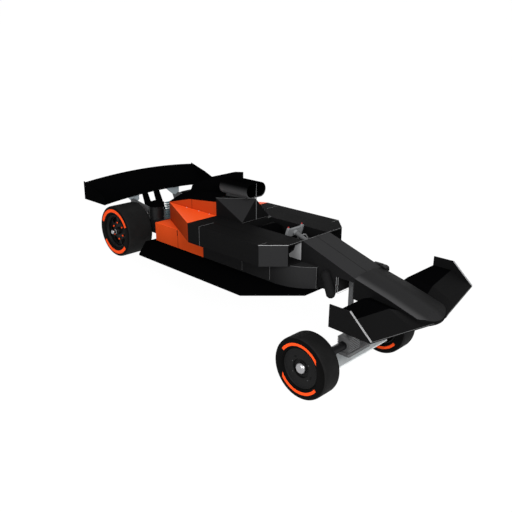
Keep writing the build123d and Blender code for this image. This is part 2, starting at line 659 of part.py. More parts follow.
# Seat: one folded shell with side bolsters, in the well
SEAT_HALF_WIDTH = 188
SEAT_SHELL = 25
seat_back = side(
    [
        (640, 120), (330, WELL_FLOOR_Z + 15), (225, 485), (185, 485), (290, WELL_FLOOR_Z),
        (345, WELL_FLOOR_Z), (640, 85),
    ],
    -SEAT_HALF_WIDTH,
    SEAT_HALF_WIDTH,
)
bolster = side(
    [(640, 85), (640, 190), (400, 210), (280, 430), (255, 485), (185, 485), (290, WELL_FLOOR_Z),
     (345, WELL_FLOOR_Z)],
    -SEAT_HALF_WIDTH - SEAT_SHELL,
    -SEAT_HALF_WIDTH,
)
seat_front = Plane((100, 0, 125), x_dir=(0, 1, 0), z_dir=(1, 0, 0))
seat_outline = RectangleRounded(2 * (SEAT_HALF_WIDTH + SEAT_SHELL), 720, 110)
pieces["seat"] = (seat_back + bolster + other_side(bolster)) & extrude(seat_front * seat_outline, 600)

# Steering column: a sloping sleeve on a bridge across the well
column_plane = Plane(
    (WHEEL_POINT[0], 0, WHEEL_POINT[1]),
    x_dir=(0, 1, 0),
    z_dir=(cos(radians(COLUMN_SLOPE)), 0, -sin(radians(COLUMN_SLOPE))),
)
COLUMN_START = 60
COLUMN_LENGTH = 260
column = extrude(column_plane.offset(COLUMN_START) * Circle(28), COLUMN_LENGTH)
bridge_x = WHEEL_POINT[0] + (COLUMN_START + COLUMN_LENGTH - 40) * cos(radians(COLUMN_SLOPE))
bridge_z = WHEEL_POINT[1] - (COLUMN_START + COLUMN_LENGTH - 40) * sin(radians(COLUMN_SLOPE))
bridge = block(bridge_x - 20, bridge_x + 20, -well_half, well_half, bridge_z - 45, bridge_z + 15)
column = column + bridge
column -= extrude(
    column_plane.offset(COLUMN_START - 1) * Circle(SHAFT_RADIUS + RUNNING_CLEARANCE),
    COLUMN_LENGTH - 60,
)
pieces["steering_column"] = column

# Steering wheel: flat yoke with two grips, on its shaft
yoke = extrude(column_plane * RectangleRounded(YOKE_WIDTH - 60, YOKE_HEIGHT - 40, 20), 26)
grip = extrude(
    column_plane.offset(-4) * Pos(YOKE_WIDTH / 2 - 20, 0) * RectangleRounded(40, YOKE_HEIGHT, 18), 34
)
yoke = yoke + grip + other_side(grip)
yoke += extrude(column_plane.offset(26) * Circle(34), 30)
yoke += extrude(column_plane.offset(56) * Circle(SHAFT_RADIUS), 150)
pieces["steering_wheel"] = yoke

# Pedals on a bar across the front of the well
pedal_bar = rod_y(1150, WELL_FLOOR_Z + 40, 14, -well_half, well_half)
for pedal_y in (-90, 90):
    pedal_bar += block(1145, 1157, pedal_y - 35, pedal_y + 35, WELL_FLOOR_Z + 40, 195)
pieces["pedals"] = pedal_bar

# Stand the car on its tyres and centre its box over the origin
turn = Rot(0, -PITCH, 0)
standing = {name: turn * piece for name, piece in pieces.items()}
box = Compound(children=[Compound(piece.solids()) for piece in standing.values()]).bounding_box()
shift = Pos(-(box.min.X + box.max.X) / 2, -(box.min.Y + box.max.Y) / 2, -box.min.Z)

os.makedirs("parts", exist_ok=True)
for name, piece in standing.items():
    export_step(Compound(label=name, children=(shift * piece).solids()), f"parts/{name}.step")

print("length, width, height:", round(box.size.X, 1), round(box.size.Y, 1), round(box.size.Z, 1))
for label, point in (
    ("front axle centre", (FRONT_AXLE_X, 0, FRONT_AXLE_Z)),
    ("rear axle centre", (REAR_AXLE_X, 0, REAR_AXLE_Z)),
    ("steering wheel hub", (WHEEL_POINT[0], 0, WHEEL_POINT[1])),
):
    spot = (shift * turn * Pos(*point)).position
    print(label, round(spot.X, 3), round(spot.Y, 3), round(spot.Z, 3))
print("pitch", round(PITCH, 4))
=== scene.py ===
from math import cos, radians, sin, tau

import bmesh
import bpy
from mathutils import Matrix, Vector


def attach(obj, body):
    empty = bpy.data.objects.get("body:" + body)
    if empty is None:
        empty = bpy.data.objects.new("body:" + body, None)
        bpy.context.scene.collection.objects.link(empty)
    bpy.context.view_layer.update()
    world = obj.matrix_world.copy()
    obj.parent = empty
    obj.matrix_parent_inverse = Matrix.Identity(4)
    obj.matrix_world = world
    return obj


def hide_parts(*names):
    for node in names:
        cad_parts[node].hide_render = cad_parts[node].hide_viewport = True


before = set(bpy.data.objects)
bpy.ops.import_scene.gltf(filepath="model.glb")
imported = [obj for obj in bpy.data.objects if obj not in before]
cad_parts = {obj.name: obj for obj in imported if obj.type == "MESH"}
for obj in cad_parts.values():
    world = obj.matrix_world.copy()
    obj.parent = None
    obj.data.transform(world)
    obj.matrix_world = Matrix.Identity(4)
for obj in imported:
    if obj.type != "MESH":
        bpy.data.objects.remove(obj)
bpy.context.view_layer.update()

# Studio: a pale seamless floor under broad soft light, seen from the car's front right and from
# above. The body is laid out level and then turned nose-up on its wheels, so body_place takes a
# point of the level body to where it stands, and the camera looks at the body's own middle.
nose_up = radians(12.4257)
body_place = Matrix.Translation((-0.010453, 0, 0.721527)) @ Matrix.Rotation(-nose_up, 4, "Y")
FLOOR_GLOW = 1.04
FLOOR_GLOW_SHARE = 0.94
SKY_BASE = 0.5


def facing_middle(place):
    """A stand at a place, turned so that what it holds looks at the origin."""
    turn = (-Vector(place)).to_track_quat("-Z", "Y").to_matrix().to_4x4()
    return Matrix.Translation(place) @ turn


camera = bpy.data.objects.new("camera", bpy.data.cameras.new("camera"))
camera.data.lens = 43.456
camera.matrix_world = body_place @ facing_middle((5.467, -5.467, 2.733))
bpy.context.collection.objects.link(camera)
bpy.context.scene.camera = camera
bpy.context.scene.view_settings.view_transform = "Standard"


class Shade:
    """A socket in a material's node tree. Arithmetic on it adds Math nodes."""

    def __init__(self, tree, socket=None):
        self.tree = tree
        self.socket = socket

    def node(self, kind, settings, inputs, output=0):
        made = self.tree.nodes.new(kind)
        for key, value in settings.items():
            setattr(made, key, value)
        for key, value in inputs.items():
            if isinstance(value, Shade):
                self.tree.links.new(value.socket, made.inputs[key])
            else:
                made.inputs[key].default_value = value
        return Shade(self.tree, made.outputs[output])

    def math(self, operation, first, second=0.0):
        return self.node("ShaderNodeMath", {"operation": operation}, {0: first, 1: second})

    def __add__(self, other):
        return self.math("ADD", self, other)

    __radd__ = __add__

    def __sub__(self, other):
        return self.math("SUBTRACT", self, other)

    def __rsub__(self, other):
        return self.math("SUBTRACT", other, self)

    def __mul__(self, other):
        return self.math("MULTIPLY", self, other)

    def __lt__(self, other):
        return self.math("LESS_THAN", self, other)

    def __gt__(self, other):
        return self.math("GREATER_THAN", self, other)

    def __abs__(self):
        return self.math("ABSOLUTE", self)


def mixed(factor, first, second):
    """Colour between first and second."""
    return factor.node(
        "ShaderNodeMix", {"data_type": "RGBA"}, {0: factor, 6: first, 7: second}, output=2
    )


def noise(coordinates, scale, detail=2.0):
    """Cloudy noise from 0 to 1."""
    return coordinates.node(
        "ShaderNodeTexNoise", {}, {"Vector": coordinates, "Scale": scale, "Detail": detail}
    )


def finish(name, **uniform):
    """A material, its shader and the piece's own coordinates. Uniform values go on the shader."""
    made = bpy.data.materials.new(name)
    made.use_nodes = True
    shader = made.node_tree.nodes["Principled BSDF"]
    for key, value in uniform.items():
        shader.inputs[key.replace("_", " ")].default_value = value
    start = Shade(made.node_tree)
    return made, shader, start.node("ShaderNodeTexCoord", {}, {}, output="Object")


def feed(shader, **links):
    """Links what varies over the surface to the shader."""
    for key, value in links.items():
        value.tree.links.new(value.socket, shader.inputs[key.replace("_", " ")])


def bump(height, distance, strength=1.0, under=None):
    """Normals from a height, over those of another bump if there is one."""
    values = {"Height": height, "Distance": distance, "Strength": strength}
    if under:
        values["Normal"] = under
    return height.node("ShaderNodeBump", {}, values)


def looking_rays(start):
    """1 on rays that look at the studio, straight, in a reflection or through a clear piece."""
    camera_ray = start.node("ShaderNodeLightPath", {}, {}, output="Is Camera Ray")
    glossy_ray = start.node("ShaderNodeLightPath", {}, {}, output="Is Glossy Ray")
    clear_ray = start.node("ShaderNodeLightPath", {}, {}, output="Is Transmission Ray")
    return camera_ray + glossy_ray + clear_ray


paper, paper_shader, spot = finish("studio_floor", Roughness=0.9, Specular_IOR_Level=0.1)
grain = noise(spot, 60.0)
feed(paper_shader, Base_Color=mixed(grain, (0.83, 0.83, 0.83, 1), (0.87, 0.87, 0.87, 1)))
glow = spot.node("ShaderNodeEmission", {}, {"Color": (1, 1, 1, 1), "Strength": FLOOR_GLOW})
base_look = Shade(paper.node_tree, paper_shader.outputs[0])
glow_share = looking_rays(spot) * FLOOR_GLOW_SHARE
shown = spot.node("ShaderNodeMixShader", {}, {0: glow_share, 1: base_look, 2: glow})
paper.node_tree.links.new(shown.socket, paper.node_tree.nodes["Material Output"].inputs[0])
ground = bmesh.new()
bmesh.ops.create_circle(ground, cap_ends=True, radius=150, segments=64)
floor_mesh = bpy.data.meshes.new("studio_floor")
ground.to_mesh(floor_mesh)
ground.free()
floor_mesh.materials.append(paper)
studio_floor = bpy.data.objects.new("studio_floor", floor_mesh)
bpy.context.collection.objects.link(studio_floor)

sky = bpy.data.worlds.new("studio")
sky.use_nodes = True
backdrop = sky.node_tree.nodes["Background"]
backdrop.inputs["Color"].default_value = (1, 1, 1, 1)
level = looking_rays(Shade(sky.node_tree)) * (1 - SKY_BASE) + SKY_BASE
sky.node_tree.links.new(level.socket, backdrop.inputs["Strength"])
bpy.context.scene.world = sky


def soft_lamp(name, place, size, power):
    """A round area lamp that shines on the car's middle."""
    lamp = bpy.data.lights.new(name, "AREA")
    lamp.shape = "DISK"
    lamp.size = size
    lamp.energy = power
    held = bpy.data.objects.new(name, lamp)
    held.matrix_world = facing_middle(place)
    bpy.context.collection.objects.link(held)


soft_lamp("key_lamp", (8.0, -5.0, 8.0), 4.0, 900)
soft_lamp("fill_lamp", (2.0, -9.0, 4.0), 5.0, 300)
soft_lamp("rear_lamp", (-7.5, 8.0, 2.2), 5.0, 350)

# Black bodywork: lower tub, sidepods, nose and roll hoop fairing, sprayed satin black over moulded
# panels that butt together. The lighter charcoal on the nose's top, on the sidepods' corner panels
# and on the fairing's flanks is a painted highlight on the faces that the light falls on, and the
# tub's front turns a lighter grey, a painted highlight too. Fine gaps run where panels meet.
SEAM_HALF_WIDTH = 0.0035
GAP_BLACK = (0.0008, 0.0008, 0.0008, 1)
PAINTED_SHADE_BLACK = (0.0115, 0.0115, 0.0118, 1)
CROWN_CURVE = 0.55
CROWN_EDGE_CURVE = 7.5
WELD_DISTANCE = 2e-5
SHARP_ANGLE = radians(22)


def level_coordinates(coordinates):
    """The piece's coordinates in the level body."""
    return coordinates.node(
        "ShaderNodeMapping",
        {"vector_type": "TEXTURE"},
        {"Vector": coordinates, "Location": body_place.translation, "Rotation": (0, -nose_up, 0)},
    )


def split(coordinates):
    """Along, across and up."""
    return [
        coordinates.node("ShaderNodeSeparateXYZ", {}, {0: coordinates}, output=number)
        for number in range(3)
    ]


def gaps_at(where, places):
    """1 in each gap between panels, 0 on the panels."""
    gaps = 0.0
    for place in places:
        gaps = gaps + (abs(where - place) < SEAM_HALF_WIDTH)
    return gaps


def ramp(value, start, end):
    """Rises smoothly from 0 where the value is start to 1 where it is end."""
    return value.node(
        "ShaderNodeMapRange", {"interpolation_type": "SMOOTHSTEP"},
        {"Value": value, "From Min": start, "From Max": end},
    )


def paint(name, colour, worn_colour, roughness, stations=(), rows=(), fade=None, crown_highlight=None):
    """Sprayed paint with orange peel, a little uneven, and gaps along those stations and rows.

    fade is (start, end, colour) along the car, where the paint lightens to a painted highlight.
    The crown colour is a painted highlight along the right edge of a panel that is crowned
    from side to side, whose left half is painted darker, as painted shade.
    """
    made, shader, spot = finish(name, Specular_IOR_Level=0.012)
    level_spot = level_coordinates(spot)
    along, across = split(level_spot)[:2]
    cloud = noise(level_spot, 3.0, 4.0)
    peel = noise(level_spot, 420.0, 1.0)
    dust = noise(level_spot, 900.0, 0.0)
    body_colour = mixed(cloud * 0.7 + (dust > 0.62) * 0.3, colour, worn_colour)
    # The fade lightens the paint along the car: a painted highlight.
    if fade:
        start, end, highlight_colour = fade
        body_colour = mixed(ramp(along, start, end), body_colour, highlight_colour)
    height = peel * 0.12
    domed = None
    if crown_highlight:
        # A painted highlight along the right edge and painted shade over the left half.
        painted_highlight_edge = ramp(across, -0.15, -0.25)
        painted_shade_half = ramp(across, 0.0, 0.10)
        body_colour = mixed(painted_shade_half, mixed(painted_highlight_edge, body_colour, crown_highlight), PAINTED_SHADE_BLACK)
        square = across * across
        domed = bump(square * -CROWN_CURVE - square * square * CROWN_EDGE_CURVE, 1.0)
    if stations or rows:
        gaps = gaps_at(along, stations) + gaps_at(abs(across), rows)
        body_colour = mixed(gaps, body_colour, GAP_BLACK)
        height = height + (1 - gaps)
    feed(
        shader,
        Base_Color=body_colour,
        Roughness=cloud * 0.12 + roughness,
        Normal=bump(height, 0.0015, 0.35, domed),
    )
    return made


def softened(node, width, material, body="chassis", second=None, test=None):
    """A copy of a CAD panel with its edges rounded over, which stands for it.

    Faces whose level normal passes the test take the second material.
    """
    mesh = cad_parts[node].data.copy()
    mesh.materials.clear()
    shape = bmesh.new()
    shape.from_mesh(mesh)
    bmesh.ops.remove_doubles(shape, verts=shape.verts, dist=WELD_DISTANCE)
    bmesh.ops.dissolve_limit(shape, angle_limit=radians(0.5), verts=shape.verts, edges=shape.edges)
    sharp = [edge for edge in shape.edges if edge.calc_face_angle(0) > SHARP_ANGLE]
    bmesh.ops.bevel(
        shape, geom=sharp, offset=width, affect="EDGES", segments=2, profile=0.5, material=-1,
        clamp_overlap=True,
    )
    to_level = Matrix.Rotation(nose_up, 3, "Y")
    for face in shape.faces:
        face.smooth = False
        face.material_index = int(bool(test and test(to_level @ face.normal)))
    shape.to_mesh(mesh)
    shape.free()
    shown_piece(node + "_finished", mesh, (material, second), body, [node])


def shown_piece(name, mesh, materials, body, nodes=()):
    """An object that rides on a body and stands for those CAD nodes."""
    for material in materials:
        if material:
            mesh.materials.append(material)
    piece = bpy.data.objects.new(name, mesh)
    bpy.context.collection.objects.link(piece)
    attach(piece, body)
    if nodes:
        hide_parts(*nodes)
    return piece


def from_shape(
    name, shape, material, body, place=body_place, nodes=(), smooth=None, second=None
):
    """An object from a bmesh that is laid out in level coordinates, or in those of a place.

    smooth is the angle, in degrees, up to which edges are shaded round.
    """
    bmesh.ops.transform(shape, matrix=place, verts=shape.verts)
    bmesh.ops.recalc_face_normals(shape, faces=shape.faces)
    for face in shape.faces:
        face.smooth = smooth is not None
    mesh = bpy.data.meshes.new(name)
    shape.to_mesh(mesh)
    shape.free()
    if smooth is not None:
        mesh.set_sharp_from_angle(angle=radians(smooth))
    piece = shown_piece(name, mesh, (material, second), body, nodes)


def greys(level, worn=1.25):
    """A neutral colour and its worn shade."""
    return (level, level, level * 1.03, 1), (level * worn, level * worn, level * worn * 1.03, 1)


# The tub's black lightens toward its front to this grey, a painted highlight.
tub_front_highlight_grey = (0.0185, 0.0185, 0.019, 1)
tub_black = paint("tub_black", *greys(0.0105), 0.5, fade=(0.70, 1.15, tub_front_highlight_grey))
pod_black = paint("pod_black", *greys(0.0054), 0.8, rows=(0.492,))
nose_black = paint("nose_black", *greys(0.0078), 0.5)
deep_black = paint("deep_black", *greys(0.0048), 0.5)
# The charcoals are painted highlights on faces the light falls on; the cone's also has painted
# shade on its left half.
nose_top_highlight_charcoal = paint("nose_top_highlight_charcoal", *greys(0.025, 1.2), 0.45, rows=(0.0,))
panel_highlight_charcoal = paint("panel_highlight_charcoal", *greys(0.0178, 1.2), 0.45)
cone_highlight_charcoal = paint("cone_highlight_charcoal", *greys(0.0178, 1.2), 0.45, crown_highlight=(0.050, 0.050, 0.051, 1))
softened("lower_tub", 0.004, tub_black, second=nose_black, test=lambda normal: normal.x > 0.95)
for node in ("sidepod_right", "sidepod_left"):
    softened(
        node, 0.004, pod_black, second=panel_highlight_charcoal,
        test=lambda normal: min(normal.x, abs(normal.y)) > 0.6,
    )
softened(
    "roll_hoop_fairing", 0.003, deep_black, second=panel_highlight_charcoal,
    test=lambda normal: normal.z > 0.55 and abs(normal.y) > 0.6,
)
softened("nose_box", 0.004, nose_black, second=nose_top_highlight_charcoal, test=lambda normal: normal.z > 0.8)
softened("nose_cone", 0.004, deep_black, second=cone_highlight_charcoal, test=lambda normal: normal.z > 0.5)

# Edge highlights: thin beads, 4 to 8 mm round, laid along the body's edges and seams: along the
# sidepods' corner panels, the cockpit rim, the fairing, the tub's seams and front, the nose's notch
# and the front wing's lip and ends. Their light or dark grey, with a brushed satin finish, is a
# painted highlight: the light that those edges catch.


def edge_lines(node, test):
    """Sharp edges of a CAD node, as pairs of level points, whose two ends pass the test."""
    to_level = body_place.inverted()
    shape = bmesh.new()
    shape.from_mesh(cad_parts[node].data)
    bmesh.ops.remove_doubles(shape, verts=shape.verts, dist=WELD_DISTANCE)
    found = []
    for edge in shape.edges:
        first, last = (to_level @ vertex.co for vertex in edge.verts)
        if edge.calc_face_angle(0) > SHARP_ANGLE and test(first) and test(last):
            found.append((first, last))
    shape.free()
    return found


def both_sides(lines):
    """Those lines and their mirror images across the car."""
    return lines + [[(x, -y, z) for x, y, z in line] for line in lines]


def chain(points):
    """The lines from each point to the next."""
    return [[first, last] for first, last in zip(points, points[1:])]


def beads(name, lines, radius, material, body="chassis"):
    """Round beads laid along level lines."""
    shape = bmesh.new()
    for line in lines:
        first, last = Vector(line[0]), Vector(line[1])
        run = last - first
        turn = run.to_track_quat("Z", "Y").to_matrix().to_4x4()
        bmesh.ops.create_cone(
            shape, cap_ends=True, cap_tris=False, segments=10, radius1=radius, radius2=radius,
            depth=run.length, matrix=Matrix.Translation((first + last) / 2) @ turn,
        )
    from_shape(name, shape, material, body, smooth=50)


def brushed_satin(name, colour, second):
    """A satin colour, finely brushed. It also colours the beads of painted edge highlight."""
    made, shader, spot = finish(name, Specular_IOR_Level=0.2)
    brushed = noise(spot, 500.0, 2.0)
    feed(
        shader, Base_Color=mixed(brushed, colour, second), Roughness=brushed * 0.2 + 0.35,
        Normal=bump(brushed, 0.0002, 0.4),
    )
    return made


# The light and dark grey beads below paint the highlights that edges catch.
bright_edge_highlight = brushed_satin("bright_edge_highlight", (0.27, 0.27, 0.275, 1), (0.36, 0.36, 0.365, 1))
dim_edge_highlight = brushed_satin("dim_edge_highlight", (0.085, 0.085, 0.087, 1), (0.13, 0.13, 0.132, 1))
pod_corner = [(0.774, -0.738, 0.505), (1.017, -0.495, 0.505)]
beads("pod_corner_highlights", both_sides([pod_corner]), 0.003, bright_edge_highlight)
wing_ends = [
    (first, last)
    for first, last in edge_lines(
        "front_wing_endplates", lambda point: 2.2 < point.x < 2.56 and point.z < 0.26
    )
    if abs(first.z - last.z) > 0.15 and abs(first.x - last.x) > 0.15
]
beads("wing_end_highlights", wing_ends, 0.004, bright_edge_highlight)
fairing_lines = [
    [(0, -0.246, 0.505), (0, 0.246, 0.505)],
    [(-0.500, -0.246, 0.746), (0, 0, 0.779)],
    [(-0.500, 0.246, 0.746), (0, 0, 0.779)],
]
beads("fairing_highlights", fairing_lines, 0.002, dim_edge_highlight)
cockpit_rim = [(1.017, 0, 0.505), (1.017, -0.495, 0.505)]
beads("cockpit_rim_highlights", both_sides([cockpit_rim]), 0.0022, dim_edge_highlight)
pod_seams = [
    [(0.774, -0.738, 0.505), (0.774, -0.600, 0.505)],
    [(-0.270, -0.738, 0.246), (-0.270, -0.738, 0.505)],
    [(-0.270, -0.738, 0.505), (-0.270, -0.492, 0.505)],
]
beads("pod_seam_highlights", both_sides(pod_seams), 0.0022, dim_edge_highlight)
tub_seams = [[(x, -0.492, 0.002), (x, -0.492, 0.244)] for x in (0.246, 0.722)]
beads("tub_seam_highlights", both_sides(tub_seams), 0.0024, dim_edge_highlight)
tub_front = edge_lines(
    "lower_tub", lambda point: point.x > 0.88 and abs(point.y) > 0.27 and point.z > 0.235
)
tub_front += edge_lines("lower_tub", lambda point: point.x > 1.255 and abs(point.y) > 0.27)
beads("tub_front_highlights", tub_front, 0.0018, dim_edge_highlight)
notch_sides = edge_lines("nose_box", lambda point: abs(point.x - 1.533) < 0.004)
notch_sides += [[(1.558, y, z) for x, y, z in line] for line in notch_sides]
beads("notch_highlights", notch_sides, 0.0018, bright_edge_highlight)
wing_lip = (
    (2.545, -0.995, 0.020), (2.646, -0.430, -0.011), (2.687, -0.200, -0.024),
    (2.704, -0.130, -0.028),
)
beads("wing_lip_highlights", both_sides(chain(wing_lip)), 0.0022, dim_edge_highlight)

# Duct light patches: a light-grey plate flat on each sidepod duct's inner wall, a painted pool of
# light. Its curved rear edge is the edge of the painted shadow that the sidepod's top casts.
LIT_PATCH_FACE_Y = 0.2655
LIT_PATCH_THICKNESS = 0.003
lit_patch_outline = (
    (1.012, 0.485), (0.923, 0.435), (0.909, 0.388), (0.894, 0.362), (0.855, 0.328), (0.824, 0.306),
    (0.829, 0.268), (1.012, 0.268),
)
# Light grey for the painted pool of light in each duct.
lit_patch_grey = brushed_satin("lit_patch_grey", (0.26, 0.26, 0.265, 1), (0.31, 0.31, 0.315, 1))
for side, outward in (("right", -1), ("left", 1)):
    shape = bmesh.new()
    corners = [shape.verts.new((x, outward * LIT_PATCH_FACE_Y, z)) for x, z in lit_patch_outline]
    plate = shape.faces.new(corners)
    grown = bmesh.ops.extrude_face_region(shape, geom=[plate])
    moved = [item for item in grown["geom"] if isinstance(item, bmesh.types.BMVert)]
    bmesh.ops.translate(shape, verts=moved, vec=(0, outward * LIT_PATCH_THICKNESS, 0))
    bmesh.ops.bevel(
        shape, geom=shape.edges[:], offset=0.0008, affect="EDGES", segments=1, profile=0.5,
        material=-1,
    )
    from_shape("duct_lit_patch_" + side, shape, lit_patch_grey, "chassis")

# Orange bodywork: lower rear boxes, rear decks and the engine cover's upright walls, in the same
# moulded panels, sprayed a bright satin orange. The deck tops show it full; the sides, the decks'
# sloping faces and the walls are darker copies of it, painted shade.
ORANGE = (1.0, 0.104, 0.0185)
WORN_ORANGE = (1.15, 0.125, 0.023)


def oranges(level):
    """The orange darkened to a level of painted shade, 1 being full, and its worn tone."""
    return [(*(level * part for part in colour), 1) for colour in (ORANGE, WORN_ORANGE)]


# Darker oranges: painted shade on sides, sloping faces and walls; the deck tops are full orange.
side_orange_shaded = paint("side_orange_shaded", *oranges(0.62), 0.42, stations=(-1.034,))
deck_orange = paint("deck_orange", *oranges(1.0), 0.42)
slope_orange_shaded = paint("slope_orange_shaded", *oranges(0.26), 0.42)
wall_orange_shaded = paint("wall_orange_shaded", *oranges(0.42), 0.42, stations=(-1.004,))
softened("engine_cover_walls", 0.003, wall_orange_shaded)
for side in ("right", "left"):
    for node, sides_coat in (("lower_rear_", side_orange_shaded), ("rear_deck_", slope_orange_shaded)):
        softened(
            node + side, 0.003, sides_coat, second=deck_orange, test=lambda normal: normal.z > 0.8
        )

# Wings, floor and engine cover top: laid up from woven carbon and lacquered almost black, so the
# twill only shows close to. The front wing's main planes and endplates and the nose's tubes are
# sprayed black over it.


def carbon(name, roughness):
    """Lacquered twill weave."""
    made, shader, spot = finish(name, Specular_IOR_Level=0.0)
    level_spot = level_coordinates(spot)
    twill = level_spot.node(
        "ShaderNodeTexWave", {"bands_direction": "DIAGONAL"},
        {"Vector": level_spot, "Scale": 90.0, "Distortion": 0.4, "Detail": 1.0}, output=1,
    )
    cloud = noise(level_spot, 5.0, 3.0)
    feed(
        shader,
        Base_Color=mixed(twill, (0.0008, 0.0008, 0.0009, 1), (0.0022, 0.0022, 0.0025, 1)),
        Roughness=cloud * 0.14 + roughness,
        Normal=bump(twill, 0.0003, 0.3),
    )
    return made


wing_carbon = carbon("wing_carbon", 0.34)
cover_carbon = carbon("cover_carbon", 0.30)
for node, width, coat in (
    ("floor_plate", 0.003, wing_carbon),
    ("engine_cover_top", 0.003, cover_carbon),
    ("front_wing_flaps", 0.002, wing_carbon),
    ("front_wing_main", 0.002, deep_black),
    ("front_wing_endplates", 0.002, deep_black),
    ("rear_wing_plane", 0.002, wing_carbon),
    ("rear_wing_endplates", 0.002, wing_carbon),
    ("rear_wing_struts", 0.002, wing_carbon),
    ("nose_tubes", 0.002, nose_black),
):
    softened(node, width, coat)

# Airbox: a moulded duct on the fairing over the driver's head, black, turning grey toward the
# bottom as a painted highlight. An upright web splits its mouth, whose inside is painted near-black
# as shade, and a thin light strip in front of it is a painted highlight on the web's front edge.
duct_black_painted_light, duct_shader, spot = finish("duct_black_painted_light", Specular_IOR_Level=0.0)
level_spot = level_coordinates(spot)
along, across, up = split(level_spot)
duct_middle_z, duct_flat_half, duct_bore = 0.8905, 0.0815, 0.0885
beyond_flat = abs(across) - duct_flat_half
from_flat = beyond_flat.math("MAXIMUM", beyond_flat, 0.0)
from_middle = up - duct_middle_z
# Painted shade inside the mouth, and a painted highlight down the web's front edge.
mouth_painted_shade = (from_flat * from_flat + from_middle * from_middle < duct_bore**2) * (along < -0.002)
web_edge_highlight = (along > 0.001) * (abs(across) < 0.0028)
duct_skin = noise(level_spot, 260.0, 3.0)
# Black up high, turning grey lower down: the grey is a painted highlight.
duct_colour = mixed(ramp(up, 0.955, 0.83), (0.0012, 0.0012, 0.0013, 1), (0.062, 0.062, 0.064, 1))
duct_colour = mixed(mouth_painted_shade, duct_colour, (0.0006, 0.0006, 0.0006, 1))
duct_colour = mixed(web_edge_highlight, duct_colour, (0.15, 0.155, 0.16, 1))
feed(
    duct_shader, Base_Color=duct_colour, Roughness=duct_skin * 0.15 + 0.45,
    Normal=bump(duct_skin, 0.0004, 0.5),
)
softened("airbox", 0.002, duct_black_painted_light)

# Front axle: a ribbed light-alloy housing that turns on a round pin under a flat steel post, with
# a flat plate below it and a tube out to each wheel.


def cast_metal(name, colour, second, roughness, grain_scale, depth, metallic=0.0, shine=0.12):
    """Cast or painted metal with a sandy skin."""
    made, shader, spot = finish(name, Specular_IOR_Level=shine, Metallic=metallic)
    level_spot = level_coordinates(spot)
    skin = noise(level_spot, grain_scale, 3.0)
    cloud = noise(level_spot, 7.0, 3.0)
    feed(
        shader,
        Base_Color=mixed(cloud, colour, second),
        Roughness=skin * 0.15 + roughness,
        Normal=bump(skin, depth, 0.5),
    )
    return made


axle_alloy = cast_metal(
    "axle_alloy", (0.68, 0.72, 0.73, 1), (0.78, 0.82, 0.83, 1), 0.42, 300.0, 0.0004
)
axle_grey = cast_metal(
    "axle_grey", (0.15, 0.152, 0.155, 1), (0.19, 0.192, 0.195, 1), 0.5, 220.0, 0.0005
)
post_grey = cast_metal(
    "post_grey", (0.095, 0.097, 0.10, 1), (0.12, 0.122, 0.125, 1), 0.4, 200.0, 0.0003, metallic=0.2
)
dark_cast = cast_metal(
    "dark_cast", (0.006, 0.0062, 0.0068, 1), (0.012, 0.0122, 0.013, 1), 0.35, 180.0, 0.0006,
    metallic=0.3,
)
softened("front_axle_block", 0.002, axle_grey, "front_axle")
softened("front_axle_plate", 0.003, axle_alloy, "front_axle")
softened("front_axle_tubes", 0.002, dark_cast, "front_axle")
softened("steering_post", 0.002, post_grey)

# Rear axle and engine: dark castings and tubes bolted up behind the body, with finned cylinders
# under toothed black heads, light painted plates up to the wing, and a radiator core in each duct.
drum_grey = cast_metal(
    "drum_grey", (0.006, 0.0062, 0.0065, 1), (0.022, 0.0225, 0.023, 1), 0.3, 90.0, 0.0012,
    metallic=0.6,
)
head_black = cast_metal(
    "head_black", (0.0009, 0.0009, 0.001, 1), (0.0014, 0.0014, 0.0015, 1), 0.6, 160.0, 0.0008,
    shine=0.0,
)
fin_teal = cast_metal(
    "fin_teal", (0.05, 0.10, 0.115, 1), (0.08, 0.14, 0.155, 1), 0.4, 300.0, 0.0003, metallic=0.2
)
carrier_grey = cast_metal(
    "carrier_grey", (0.09, 0.093, 0.096, 1), (0.12, 0.123, 0.127, 1), 0.45, 200.0, 0.0004,
    metallic=0.1,
)
fence_grey = cast_metal(
    "fence_grey", (0.36, 0.42, 0.45, 1), (0.42, 0.48, 0.51, 1), 0.4, 240.0, 0.0003, metallic=0.2
)
for node, width, metal in (
    ("gearbox", 0.004, dark_cast),
    ("tail_cross_member", 0.004, dark_cast),
    ("engine_block", 0.004, dark_cast),
    ("engine_cylinders", 0.001, drum_grey),
    ("engine_heads", 0.003, head_black),
    ("engine_cooling_fins", 0.001, fin_teal),
    ("rear_axle_tubes", 0.002, dark_cast),
    ("rear_hub_carriers", 0.003, carrier_grey),
    ("rear_spindles", 0.002, dark_cast),
    ("radiator_cores", 0.001, head_black),
    ("rear_fences", 0.0015, fence_grey),
):
    softened(node, width, metal)

# Cockpit: a folded seat shell under dark woven fabric, cast pedals, and a flat moulded yoke with
# two red-tipped grips on a sloping steel column. A cup and a bent handle are fixed to its left.
seat_cloth, seat_shader, spot = finish("seat_cloth", Roughness=0.9, Specular_IOR_Level=0.01)
threads = {"Vector": spot, "Scale": 160.0}
warp = spot.node("ShaderNodeTexWave", {"bands_direction": "X"}, threads, output=1)
weft = spot.node("ShaderNodeTexWave", {"bands_direction": "Y"}, threads, output=1)
weave = warp * 0.5 + weft * 0.5
feed(
    seat_shader,
    Base_Color=mixed(weave, (0.0006, 0.0006, 0.0007, 1), (0.0022, 0.0022, 0.0024, 1)),
    Normal=bump(weave, 0.0006, 0.5),
)
softened("seat", 0.006, seat_cloth)
softened("pedals", 0.002, dark_cast)
grip_grey = cast_metal(
    "grip_grey", (0.16, 0.165, 0.17, 1), (0.2, 0.205, 0.21, 1), 0.6, 700.0, 0.0004
)
softened("steering_wheel", 0.002, grip_grey, "steering_wheel")
softened("steering_column", 0.002, post_grey)
